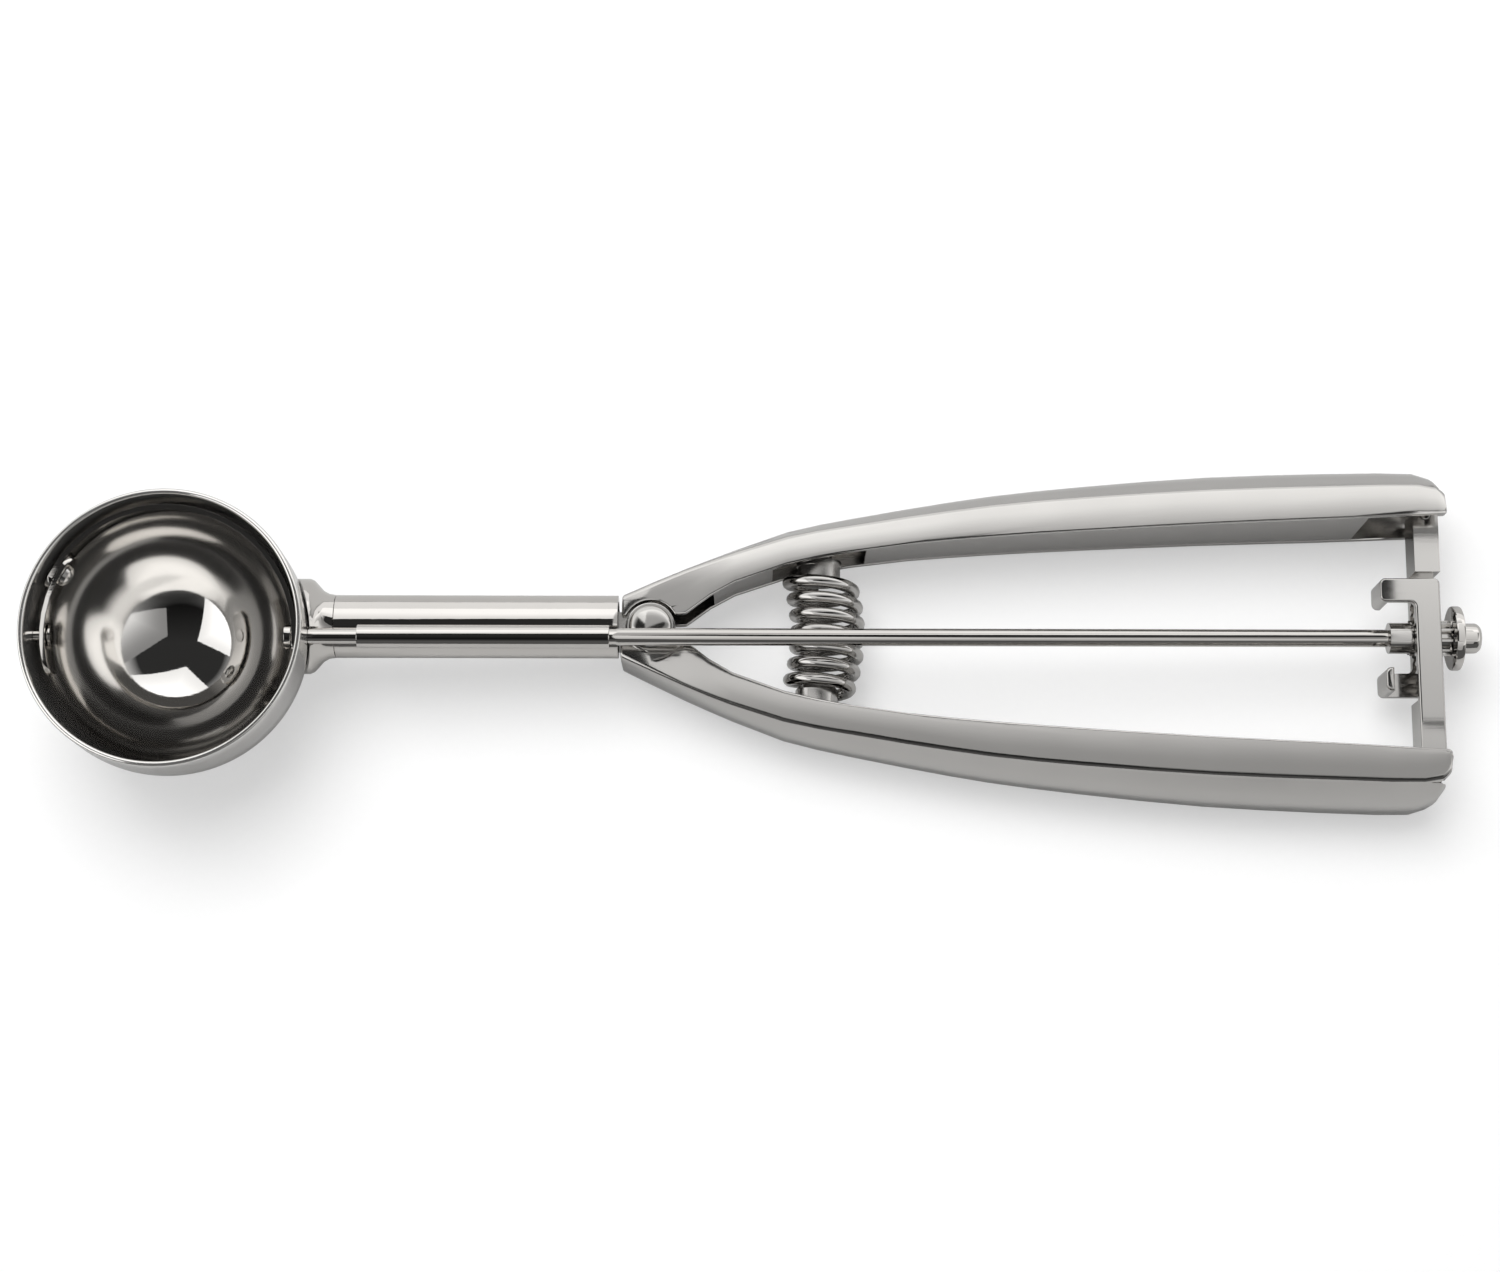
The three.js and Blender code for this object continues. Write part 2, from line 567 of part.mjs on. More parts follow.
add("rod_cap", turned(capProfile, 20, "x"), 0xdcdfe1, 0.1);

// Rack: toothed slab over the pinion, deeper arm to the pin, and a hooked tab at its free end.
// Drawn for the lower handle about the rod axis; the upper one is the same turned half round that axis.
const ARM_END = -(RACK_TRAVEL + TIP_R + GAP + 0.2);
function rackTooth(at) {
  const half = (PITCH * TOOTH_SHARE) / 2;
  const shape = new THREE.Shape();
  shape.moveTo(at - half * 1.5, SLAB_BASE + 0.1);
  shape.lineTo(at - half, PINION_PITCH_R);
  shape.lineTo(at - half * 0.55, PINION_PITCH_R - TOOTH_TIP);
  shape.lineTo(at + half * 0.55, PINION_PITCH_R - TOOTH_TIP);
  shape.lineTo(at + half, PINION_PITCH_R);
  shape.lineTo(at + half * 1.5, SLAB_BASE + 0.1);
  shape.closePath();
  return shape;
}
// Plan of the bar and its tab, with rounded corners and a fillet between them
function rackPlan() {
  const half = RACK_WIDE / 2;
  const tabEdge = -half - RACK_TAB_LONG;
  const tabFrom = RACK_FREE_END - RACK_TAB_WIDE;
  const r = RACK_CORNER;
  const right = Math.PI / 2;
  const shape = new THREE.Shape();
  shape.moveTo(half, -PIN_HALF);
  shape.lineTo(half, RACK_FREE_END - r);
  shape.absarc(half - r, RACK_FREE_END - r, r, 0, right, false);
  shape.absarc(tabEdge + r, RACK_FREE_END - r, r, right, 2 * right, false);
  shape.absarc(tabEdge + r, tabFrom + r, r, 2 * right, 3 * right, false);
  shape.absarc(-half - r, tabFrom - r, r, right, 0, true);
  shape.lineTo(-half, -PIN_HALF);
  shape.closePath();
  return shape;
}
function plate(shape, from, to) {
  const settings = { depth: to - from, bevelEnabled: false, curveSegments: 5 };
  return solidOf(new THREE.ExtrudeGeometry(shape, settings).translate(0, 0, from));
}
function rack() {
  const half = RACK_WIDE / 2;
  let body = plate(rackPlan(), SLAB_BASE, SLAB_TOP)
    .add(box(-half, half, -PIN_HALF, ARM_END, -RACK_CLEAR, SLAB_TOP))
    .add(rod(half, -RACK_CLEAR, SLAB_TOP, 20, "z").translate(0, -PIN_HALF, 0));
  const first = Math.ceil((ARM_END + PITCH / 2) / PITCH);
  for (let i = first; i <= 2; i++) body = body.add(extruded(rackTooth(i * PITCH), -half, half));
  const tabFrom = RACK_FREE_END - RACK_TAB_WIDE;
  const tabEdge = -half - RACK_TAB_LONG;
  const fold = box(tabEdge, tabEdge + RACK_THICK, tabFrom, RACK_FREE_END, -RACK_CLEAR - 1, SLAB_TOP)
    .intersect(plate(rackPlan(), -RACK_CLEAR - 1, SLAB_TOP));
  return body.add(fold).subtract(rod(RACK_PIN_R + FIT, -9, 9, 16, "z").translate(0, -PIN_HALF, 0));
}
// Each rack sits where its pin lies in the turned handle frame
const pinAt = (side) => RACK_X + side * PIN_HALF * Math.sin(HANDLE_TURN);
add("lower_rack", rack().translate(pinAt(-1), 0, 0), 0xc9ccd0, 0.2);
add("upper_rack", rack().rotate(180, 0, 0).translate(pinAt(1), 0, 0), 0xc2c5c9, 0.2);

// Blade: a strip that follows the bowl wall from the rod to the far side, at rest just under the rim
function stripRing(deg, r, thick, wide) {
  const a = radians(deg);
  const tilt = radians(BLADE_TILT);
  const inPlane = new THREE.Vector3(0, Math.cos(tilt), Math.sin(tilt));
  const across = new THREE.Vector3(0, -Math.sin(tilt), Math.cos(tilt));
  const out = new THREE.Vector3(Math.cos(a), 0, 0).addScaledVector(inPlane, Math.sin(a));
  const at = (radius, offset) => out.clone().multiplyScalar(radius).addScaledVector(across, offset);
  return [at(r, -wide / 2), at(r, wide / 2), at(r - thick, wide / 2), at(r - thick, -wide / 2)];
}
// A strip with rounded ends; round is the arc in degrees over which an end narrows
function strip(from, to, r, thick, wide, step, round) {
  const count = Math.round((to - from) / step);
  const stops = [0, round * 0.15, round * 0.5, round];
  for (let i = 1; i < count; i++) {
    const s = (i * (to - from)) / count;
    if (s > round + 1 && s < to - from - round - 1) stops.push(s);
  }
  stops.push(to - from - round, to - from - round * 0.5, to - from - round * 0.15, to - from);
  const rings = stops.map((s) => {
    const t = Math.min(1, Math.min(s, to - from - s) / round);
    return stripRing(from + s, r, thick, wide * (0.35 + 0.65 * Math.sqrt(t * (2 - t))));
  });
  return loft(rings);
}
const axisBore = rod(ROD_FRONT_R + 0.1, 0, BOWL_OUTER_R, 16, "x");
const rivetTilt = (solid) =>
  solid.rotate(0, 0, BLADE_RIVET_AT).rotate(BLADE_TILT, 0, 0);
const rivetBore = rivetTilt(rod(1 + FIT, BLADE_R - 5, BLADE_R + 2, 16, "x"));
const blade = strip(-8, BLADE_END, BLADE_R, BLADE_THICK, BLADE_WIDE, 7, 6)
  .subtract(axisBore)
  .subtract(rivetBore);
add("blade", blade, 0xd8dbdd, 0.12);
const STRAP_R = BLADE_R - BLADE_THICK - 0.12;
const pinBore = rod(PIN_R + FIT, -BOWL_OUTER_R, 0, 16, "x");
const strap = strip(STRAP_START, STRAP_END, STRAP_R, BLADE_THICK, BLADE_WIDE, 7, 7)
  .subtract(pinBore)
  .subtract(rivetBore);
add("blade_strap", strap, 0xd3d6d8, 0.14);
const STRAP_INNER = STRAP_R - BLADE_THICK;
const bladeRivetProfile = [
  [0, STRAP_INNER - 1.2],
  [0.9, STRAP_INNER - 1.05],
  [1.45, STRAP_INNER - 0.65],
  [1.65, STRAP_INNER - 0.12],
  [1, STRAP_INNER - 0.12],
  [1, BLADE_R - 0.02],
  [0, BLADE_R - 0.02],
];
add("blade_rivet", rivetTilt(turned(bladeRivetProfile, 20, "x")), 0xe6e8ea, 0.08);
const hub = tube(1.9, ROD_FRONT_R + 0.1, HUB_INNER, HUB_INNER + HUB_LONG, 20, "x");
add("blade_hub", hub, 0xcfd2d4, 0.15);

// Far pivot pin through the bowl wall and the strap
const pinProfile = [
  [0, BOWL_OUTER_R + 0.9],
  [1.1, BOWL_OUTER_R + 0.9],
  [1.7, BOWL_OUTER_R + 0.55],
  [1.8, BOWL_OUTER_R + 0.12],
  [PIN_R, BOWL_OUTER_R + 0.12],
  [PIN_R, STRAP_INNER - FIT],
  [1.5, STRAP_INNER - FIT],
  [1.5, STRAP_INNER - FIT - PIN_HEAD],
  [0, STRAP_INNER - FIT - PIN_HEAD],
].map(([r, h]) => [r, -h]);
add("far_pivot_pin", turned(pinProfile, 20, "x"), 0xd9dcde, 0.12);

// Spring: one wire between the seats, bowed a little away from the pivot
const SPRING_HALF = SEAT_FACE - SPRING_WIRE_R - 0.12;
class SpringPath extends THREE.Curve {
  getPoint(t, target = new THREE.Vector3()) {
    const y = SPRING_HALF * (2 * t - 1);
    const a = 2 * Math.PI * (SPRING_TURNS * t - 0.25);
    const bow = SPRING_BOW * (1 - (2 * t - 1) ** 2);
    const x = SPRING_ALONG + bow + SPRING_COIL_R * Math.cos(a);
    return target.set(x, y, SPRING_Z + SPRING_COIL_R * Math.sin(a));
  }
}
const wire = new THREE.Shape();
wire.absarc(0, 0, SPRING_WIRE_R, 0, 2 * Math.PI, false);
const springGeometry = new THREE.ExtrudeGeometry(new THREE.Shape(wire.getPoints(5).slice(0, 5)), {
  steps: Math.round(SPRING_TURNS * 8),
  extrudePath: new SpringPath(),
  bevelEnabled: false,
});
add("spring", solidOf(springGeometry), 0x9a9da0, 0.28, handles);

// Least gap of the wire to itself, from points a third of a turn or more apart
const path = new SpringPath();
const wirePoints = path.getPoints(400);
let least = Infinity;
wirePoints.forEach((p, i) => {
  for (let j = i + Math.round(134 / SPRING_TURNS); j < wirePoints.length; j++) {
    least = Math.min(least, p.distanceTo(wirePoints[j]));
  }
});
console.log("spring: least gap to itself " + (least - 2 * SPRING_WIRE_R).toFixed(2) + " mm");

// The part's origin: middle of its box, on the surface it stands on
scoop.updateMatrixWorld(true);
const bounds = new THREE.Box3().setFromObject(scoop, true);
const middle = bounds.getCenter(new THREE.Vector3());
scoop.position.set(-middle.x, -middle.y, -bounds.min.z);
const part = new THREE.Group();
part.name = "food_scoop";
part.add(scoop);
export default part;
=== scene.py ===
# Squeeze-handle food scoop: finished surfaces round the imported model, with its studio and camera.
import json
import math

import bpy
from mathutils import Matrix, Quaternion, Vector


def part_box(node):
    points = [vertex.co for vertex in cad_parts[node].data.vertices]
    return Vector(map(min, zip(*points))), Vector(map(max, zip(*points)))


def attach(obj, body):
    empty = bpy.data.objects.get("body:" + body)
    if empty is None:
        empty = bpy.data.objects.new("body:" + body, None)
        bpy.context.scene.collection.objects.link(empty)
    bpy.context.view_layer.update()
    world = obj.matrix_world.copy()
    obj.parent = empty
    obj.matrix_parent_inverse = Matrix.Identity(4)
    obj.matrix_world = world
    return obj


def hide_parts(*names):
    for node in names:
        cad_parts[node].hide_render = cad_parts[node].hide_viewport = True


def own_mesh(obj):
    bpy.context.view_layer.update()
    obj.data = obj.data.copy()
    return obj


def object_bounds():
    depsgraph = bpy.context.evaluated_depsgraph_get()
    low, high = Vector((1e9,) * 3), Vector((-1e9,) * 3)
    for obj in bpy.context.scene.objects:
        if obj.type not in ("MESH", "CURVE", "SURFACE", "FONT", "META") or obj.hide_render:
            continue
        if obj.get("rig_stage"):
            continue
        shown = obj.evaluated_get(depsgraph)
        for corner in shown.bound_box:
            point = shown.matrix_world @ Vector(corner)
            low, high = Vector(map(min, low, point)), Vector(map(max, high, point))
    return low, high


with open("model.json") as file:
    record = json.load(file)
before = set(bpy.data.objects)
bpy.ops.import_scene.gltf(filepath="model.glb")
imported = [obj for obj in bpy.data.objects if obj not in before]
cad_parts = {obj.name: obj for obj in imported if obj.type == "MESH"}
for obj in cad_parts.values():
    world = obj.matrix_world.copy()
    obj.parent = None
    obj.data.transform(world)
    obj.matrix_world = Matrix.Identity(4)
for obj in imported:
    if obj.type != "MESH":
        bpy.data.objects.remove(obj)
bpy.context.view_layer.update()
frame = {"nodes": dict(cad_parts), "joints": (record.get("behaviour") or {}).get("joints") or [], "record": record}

MM = 0.001

BODY_OF = {node: body for body, nodes in frame["record"]["behaviour"]["bodies"].items() for node in nodes}
SLOT_OF = {part["node"]: part["material_slot"] for part in frame["record"]["subparts"]}


def middle(node):
    low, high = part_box(node)
    return (low + high) / 2


ROD_AXIS = middle("drive_rod")
BOWL = middle("bowl")
BOWL_R = (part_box("bowl")[1].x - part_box("bowl")[0].x) / 2
BOWL_CENTRE = Vector((BOWL.x, BOWL.y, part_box("bowl")[0].z + BOWL_R))


# Nodes of shader trees

def linear(hex_code):
    """An sRGB hex colour as linear RGBA."""
    parts = [int(hex_code[i:i + 2], 16) / 255 for i in (1, 3, 5)]
    return tuple(p / 12.92 if p <= 0.04045 else ((p + 0.055) / 1.055) ** 2.4 for p in parts) + (1.0,)


def put(tree, kind, inputs=None, **settings):
    """Adds a node, sets it up, and fills or links its inputs."""
    made = tree.nodes.new(kind)
    for key, value in settings.items():
        setattr(made, key, value)
    for key, value in (inputs or {}).items():
        if isinstance(value, bpy.types.NodeSocket):
            tree.links.new(value, made.inputs[key])
        else:
            made.inputs[key].default_value = value
    return made


# What haze adds to a polish's roughness, and how metallic the rim zone is left, so that its pale colour shows
# there as painted light
HAZE_SOFT = 0.07
PAINTED_RIM_LIGHT_METAL = 0.87


def steel(name, colour, rough, grain_mm, depth, haze=None):
    """A bare metal: rough is its lowest and highest roughness, grain_mm the size of its polishing marks
    along X, Y and Z, and depth how far they stand out. haze is the heights in metres between which the
    polish goes from mirror to soft, and those between which the metal turns partly non-metallic towards a
    rim, so that its pale colour shows there as painted light."""
    material = bpy.data.materials.new(name)
    material.use_nodes = True
    tree = material.node_tree
    tree.nodes.clear()
    place = put(tree, "ShaderNodeTexCoord")
    scale = tuple(1 / (g * MM) for g in grain_mm)
    laid = put(tree, "ShaderNodeMapping", {"Vector": place.outputs["Object"], "Scale": scale})
    marks = put(tree, "ShaderNodeTexNoise",
                {"Vector": laid.outputs["Vector"], "Scale": 1.0, "Detail": 3.0, "Roughness": 0.6})
    cloud = put(tree, "ShaderNodeTexNoise",
                {"Vector": place.outputs["Object"], "Scale": 1 / (9 * MM), "Detail": 2.0})
    both = put(tree, "ShaderNodeMath", {0: marks.outputs["Fac"], 1: cloud.outputs["Fac"]}, operation="ADD")
    gloss = put(tree, "ShaderNodeMapRange", {"Value": both.outputs["Value"], "From Min": 0.6,
                                             "From Max": 1.4, "To Min": rough[0], "To Max": rough[1]})
    relief = put(tree, "ShaderNodeBump", {"Height": marks.outputs["Fac"], "Strength": depth,
                                          "Distance": 0.01 * MM})
    tone = put(tree, "ShaderNodeMixRGB", {"Fac": cloud.outputs["Fac"], "Color1": linear(colour[0]),
                                          "Color2": linear(colour[1])})
    shader = put(tree, "ShaderNodeBsdfPrincipled",
                 {"Base Color": tone.outputs["Color"], "Metallic": 1.0,
                  "Roughness": gloss.outputs["Result"], "Normal": relief.outputs["Normal"]})
    if haze:
        height = put(tree, "ShaderNodeSeparateXYZ", {"Vector": place.outputs["Object"]}).outputs["Z"]
        soft = put(tree, "ShaderNodeMapRange",
                   {"Value": height, "From Min": haze[0][0], "From Max": haze[0][1],
                    "To Min": 0.0, "To Max": HAZE_SOFT})
        blurred = put(tree, "ShaderNodeMath", {0: gloss.outputs["Result"], 1: soft.outputs["Result"]},
                      operation="ADD")
        # painted light: towards the rim the metal turns partly non-metallic, so its pale colour shows lit there
        painted_rim_light = put(tree, "ShaderNodeMapRange",
                   {"Value": height, "From Min": haze[1][0], "From Max": haze[1][1],
                    "To Min": 1.0, "To Max": PAINTED_RIM_LIGHT_METAL})
        tree.links.new(blurred.outputs["Value"], shader.inputs["Roughness"])
        tree.links.new(painted_rim_light.outputs["Result"], shader.inputs["Metallic"])
    put(tree, "ShaderNodeOutputMaterial", {"Surface": shader.outputs["BSDF"]})
    return material


# Stainless sheet, spun and buffed to a mirror: sharp reflections, a faint haze along the buffing
MIRROR = steel("mirror_polished_stainless", ("#d8d5d1", "#cfccc8"), (0.015, 0.045), (6, 0.25, 0.25), 0.15)
# Stainless sheet, pressed and polished: soft-edged reflections drawn out lengthwise
SATIN = steel("polished_pressed_stainless", ("#cbc9c6", "#c3c1be"), (0.09, 0.15), (14, 0.3, 0.3), 0.3)
# Stainless strip, stamped and tumbled: even, slightly duller grey
STAMPED = steel("stamped_stainless", ("#cbc9c6", "#bfbdba"), (0.16, 0.26), (0.5, 0.5, 0.5), 0.3)
# Drawn spring wire: glossy, with fine die marks
WIRE = steel("drawn_spring_wire", ("#cfcdca", "#c2c0bd"), (0.03, 0.07), (0.3, 1.5, 0.3), 0.2)
# A paler copy of the mirror, painted light that brightens the bowl: mirror at the bottom of the bowl,
# softer up its spun wall, and less metallic towards the rim, so that the pale colour shows there as painted light
PALER_LIT_BOWL_MIRROR = steel("mirror_bowl_painted_light", ("#eae8e5", "#e3e1de"), (0.015, 0.045), (6, 0.25, 0.25), 0.15,
                    ((BOWL_CENTRE.z - 0.885 * BOWL_R, BOWL_CENTRE.z - 0.75 * BOWL_R),
                     (BOWL_CENTRE.z - 8 * MM, BOWL_CENTRE.z + 4 * MM)))
FINISH = {"polished_steel": MIRROR, "satin_steel": SATIN, "plain_steel": STAMPED, "spring_steel": WIRE}


# Making of pieces

MERGE = 0.002 * MM  # points closer than this are one
SLACK = 0.02 * MM  # points within this of a level or a box count as on it
FLAT = math.radians(0.6)  # faces that turn less than this are one flat face
FLAT_ON_HANDLE = math.radians(0.08)


def only(*objects):
    """Leaves just these objects selected, in object mode."""
    if bpy.context.mode != "OBJECT":
        bpy.ops.object.mode_set(mode="OBJECT")
    bpy.ops.object.select_all(action="DESELECT")
    for o in objects:
        o.select_set(True)
    if objects:
        bpy.context.view_layer.objects.active = objects[0]


def edit(piece):
    only(piece)
    bpy.ops.object.mode_set(mode="EDIT")


def modified(piece, kind, **settings):
    """Adds a modifier and applies it."""
    only(piece)
    made = piece.modifiers.new(kind.lower(), kind)
    for key, value in settings.items():
        setattr(made, key, value)
    bpy.ops.object.modifier_apply(modifier=made.name)


def pick(piece, kind, chosen):
    """Goes into edit mode with just the chosen vertices or edges selected."""
    edit(piece)
    bpy.ops.mesh.select_mode(type=kind)
    bpy.ops.mesh.select_all(action="DESELECT")
    bpy.ops.object.mode_set(mode="OBJECT")
    elements = piece.data.vertices if kind == "VERT" else piece.data.edges
    elements.foreach_set("select", chosen)
    bpy.ops.object.mode_set(mode="EDIT")


def unspiked(piece, node):
    """Dissolves the points that an unclamped bevel has thrown past the node's box."""
    low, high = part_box(node)
    past = [any(v.co[k] < low[k] - SLACK or v.co[k] > high[k] + SLACK for k in range(3))
            for v in piece.data.vertices]
    pick(piece, "VERT", past)
    if any(past):
        bpy.ops.mesh.dissolve_verts()
    only(piece)


def finished(piece, node, edge=0.0, angle=32, finish=None, name=None):
    """Eases sharp edges, smooths the rest, and puts the piece in the node's place."""
    piece.name = name or node + "_finished"
    only(piece)
    bpy.ops.object.transform_apply(location=True, rotation=True, scale=True)
    if edge:
        modified(piece, "BEVEL", width=edge * MM, segments=2, limit_method="ANGLE",
                 angle_limit=math.radians(angle), use_clamp_overlap=not node.endswith("_handle"),
                 miter_outer="MITER_SHARP")
        if node.endswith("_handle"):
            unspiked(piece, node)
    only(piece)
    bpy.ops.object.shade_smooth_by_angle(angle=math.radians(angle))
    if edge:
        modified(piece, "WEIGHTED_NORMAL", mode="FACE_AREA", weight=50, keep_sharp=True)
    piece.data.materials.clear()
    piece.data.materials.append(finish or FINISH[SLOT_OF[node]])
    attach(piece, BODY_OF[node])
    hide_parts(node)
    return piece


def copied(node):
    """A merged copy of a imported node, with its flat faces whole again."""
    source = frame["nodes"][node]
    piece = source.copy()
    piece.data = source.data.copy()
    for key in list(piece.keys()):
        if key.startswith("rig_"):
            del piece[key]
    piece.parent = None
    piece.matrix_world = Matrix.Identity(4)
    bpy.context.collection.objects.link(piece)
    only(piece)
    if piece.data.has_custom_normals:
        bpy.ops.mesh.customdata_custom_splitnormals_clear()
    edit(piece)
    bpy.ops.mesh.select_all(action="SELECT")
    bpy.ops.mesh.remove_doubles(threshold=MERGE)
    if node.endswith("_handle"):
        bpy.ops.mesh.dissolve_limited(angle_limit=FLAT_ON_HANDLE)
        bpy.ops.mesh.tris_convert_to_quads(face_threshold=math.radians(30),
                                           shape_threshold=math.radians(60))
    else:
        bpy.ops.mesh.dissolve_limited(angle_limit=FLAT)
    only(piece)
    return piece


def eased(piece, width, way, segments=3, hollow=False):
    """Rounds the edges round the flat face that lies furthest along way, but not those of a hole in it
    where it is hollow."""
    only(piece)
    mesh = piece.data
    furthest = max(v.co.dot(way) for v in mesh.vertices)
    level = [v.co.dot(way) > furthest - SLACK for v in mesh.vertices]
    face_middle = sum((v.co for v, on in zip(mesh.vertices, level) if on), Vector()) / sum(level)
    faces_at = {}
    for face in mesh.polygons:
        for key in face.edge_keys:
            faces_at.setdefault(key, []).append(face.normal)
    chosen = []
    for e in mesh.edges:
        aside, flat = sorted(faces_at[tuple(sorted(e.vertices))], key=way.dot)[:2]
        ends = [mesh.vertices[i].co for i in e.vertices]
        out = (ends[0] + ends[1]) / 2 - face_middle
        chosen.append(all(level[i] for i in e.vertices) and flat.dot(way) > 0.9 and aside.dot(way) < 0.5
                      and (not hollow or out.dot(aside) > 0))
    pick(piece, "EDGE", chosen)
    bpy.ops.mesh.bevel(offset=width * MM, segments=segments, affect="EDGES", clamp_overlap=not hollow)
    only(piece)


def turned(profile, axis_at, around="X", sides=64):
    """Turns a closed profile of (along, radius) in millimetres round a line through axis_at: a ring is
    drawn out and scaled from point to point, and its two ends are closed or joined."""
    lean = (0, math.pi / 2, 0) if around == "X" else (0, 0, 0)
    way = Vector((1, 0, 0)) if around == "X" else Vector((0, 0, 1))
    (first, radius), rest = profile[0], profile[1:]
    tiny = 0.001
    only()
    bpy.ops.mesh.primitive_circle_add(vertices=sides, radius=max(radius, tiny) * MM, fill_type="NOTHING",
                                      location=axis_at + way * first * MM, rotation=lean)
    piece = bpy.context.object
    bpy.ops.object.transform_apply(location=True, rotation=True, scale=True)
    edit(piece)
    bpy.ops.mesh.select_all(action="SELECT")
    at, size = first, max(radius, tiny)
    for along, r in rest:
        step = way * (along - at) * MM
        bpy.ops.mesh.extrude_region_move(TRANSFORM_OT_translate={"value": step})
        grown = max(r, tiny) / size
        if abs(grown - 1) > 1e-6:
            bpy.ops.transform.resize(value=(grown,) * 3, center_override=axis_at + way * along * MM)
        at, size = along, max(r, tiny)
    bpy.ops.mesh.select_all(action="DESELECT")
    bpy.ops.mesh.select_non_manifold(extend=False, use_wire=True, use_boundary=True, use_multi_face=False,
                                     use_non_contiguous=False, use_verts=False)
    if profile[0][1] > tiny and profile[-1][1] > tiny:
        bpy.ops.mesh.bridge_edge_loops()
    bpy.ops.mesh.select_all(action="SELECT")
    bpy.ops.mesh.remove_doubles(threshold=0.003 * MM)
    bpy.ops.mesh.normals_make_consistent(inside=False)
    only(piece)
    return piece


def bored(piece, cutter):
    """Cuts one piece out of another."""
    modified(piece, "BOOLEAN", operation="DIFFERENCE", object=cutter, solver="EXACT")
    bpy.data.objects.remove(cutter)


def along_axis(node, axis_at):
    """The reach of a node along X, in millimetres from axis_at."""
    low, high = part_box(node)
    return (low.x - axis_at.x) / MM, (high.x - axis_at.x) / MM


# Sizes below are in millimetres, and places in metres

# Bowl: a half ball with a straight skirt and an eased lip
WALL = 0.8
LIP = 0.37
SKIRT = (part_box("bowl")[1].z - BOWL_CENTRE.z) / MM
SKIRT_RINGS = (2.4, 2.3, SKIRT - 4.7)
BORE_FROM, BORE_TO = 16, 23
ROD_BORE = 1.4
PIN_BORE = 1.05
only()
bpy.ops.mesh.primitive_uv_sphere_add(segments=192, ring_count=96, radius=BOWL_R, location=BOWL_CENTRE)
bowl = bpy.context.object
bpy.ops.object.transform_apply(location=True, rotation=True, scale=True)
pick(bowl, "VERT", [v.co.z > BOWL_CENTRE.z + 0.01 * MM for v in bowl.data.vertices])
bpy.ops.mesh.delete(type="VERT")
bpy.ops.mesh.select_all(action="DESELECT")
bpy.ops.mesh.select_non_manifold(use_verts=False)
for height in SKIRT_RINGS:
    bpy.ops.mesh.extrude_region_move(TRANSFORM_OT_translate={"value": (0, 0, height * MM)})
modified(bowl, "SOLIDIFY", thickness=WALL * MM, offset=-1, use_even_offset=True)
modified(bowl, "BEVEL", width=LIP * MM, segments=5, limit_method="ANGLE", angle_limit=math.radians(50))
bored(bowl, turned([(BORE_FROM, 0), (BORE_FROM, ROD_BORE), (BORE_TO, ROD_BORE), (BORE_TO, 0)],
                   BOWL_CENTRE, sides=32))
bored(bowl, turned([(-BORE_TO, 0), (-BORE_TO, PIN_BORE), (-BORE_FROM, PIN_BORE), (-BORE_FROM, 0)],
                   BOWL_CENTRE, sides=32))
# the bowl gets the paler mirror, painted light that brightens it
finished(bowl, "bowl", name="bowl_shell", finish=PALER_LIT_BOWL_MIRROR)

# Long round pieces
neck_low, neck_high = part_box("neck_tube")
NECK = Vector((0, (neck_low.y + neck_high.y) / 2, (neck_low.z + neck_high.z) / 2))
NECK_R = (neck_high.y - neck_low.y) / 2 / MM
NECK_BORE = NECK_R - 0.9
NECK_REACH = 0.55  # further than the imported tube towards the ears, as far as their turn allows
NOTCH = Vector((3.6, 2.4, 4))
NOTCH_BACK, NOTCH_ASIDE, NOTCH_UP = 0.8, 0.7, 4
start, end = along_axis("neck_tube", NECK)
end += NECK_REACH
neck = turned([(start, NECK_R), (end, NECK_R), (end, NECK_BORE), (start, NECK_BORE)], NECK, sides=96)
only()
notch_at = ((end - NOTCH_BACK) * MM, ROD_AXIS.y + NOTCH_ASIDE * MM, NECK.z + NOTCH_UP * MM)
bpy.ops.mesh.primitive_cube_add(size=1, location=notch_at)
notch = bpy.context.object
notch.dimensions = NOTCH * MM
bpy.ops.object.transform_apply(location=True, rotation=True, scale=True)
bored(neck, notch)
finished(neck, "neck_tube", edge=0.12, name="neck_sleeve")

GUIDE_R, GUIDE_BORE = 1.65, 1.25
start, end = along_axis("guide_tube", ROD_AXIS)
guide = turned([(start, GUIDE_R), (end, GUIDE_R), (end, GUIDE_BORE), (start, GUIDE_BORE)], ROD_AXIS, sides=64)
finished(guide, "guide_tube", edge=0.08, name="rod_guide")

ROD_R, ROD_END_R = 1.25, 1.1
start, end = along_axis("drive_rod", ROD_AXIS)
thick_from = along_axis("neck_tube", ROD_AXIS)[1] + 0.4
thick_to = along_axis("pinion", ROD_AXIS)[0] - 0.2
shaft = turned([(start, 0), (start, ROD_END_R), (thick_from, ROD_END_R), (thick_from + 0.4, ROD_R),
                (thick_to, ROD_R), (thick_to, ROD_END_R), (end, ROD_END_R), (end, 0)], ROD_AXIS, sides=64)
finished(shaft, "drive_rod", edge=0.1, name="rod_shaft")

WASHER_R, WASHER_BORE = 4.6, 1.25
start, end = along_axis("rod_washer", ROD_AXIS)
washer = turned([(start, WASHER_R), (end, WASHER_R), (end, WASHER_BORE), (start, WASHER_BORE)],
                ROD_AXIS, sides=80)
finished(washer, "rod_washer", edge=0.25, name="end_washer")

CAP_R, CAP_TOP_R, CAP_SIDE = 2.15, 1.6, 2.2
CAP_BORE, CAP_BORE_DEEP = 1.25, 1.75
start, end = along_axis("rod_cap", ROD_AXIS)
cap = turned([(start + CAP_BORE_DEEP, 0), (start + CAP_BORE_DEEP, CAP_BORE), (start, CAP_BORE), (start, CAP_R),
              (start + CAP_SIDE, CAP_R), (end, CAP_TOP_R), (end, 0)], ROD_AXIS, sides=64)
finished(cap, "rod_cap", edge=0.22, name="end_cap")

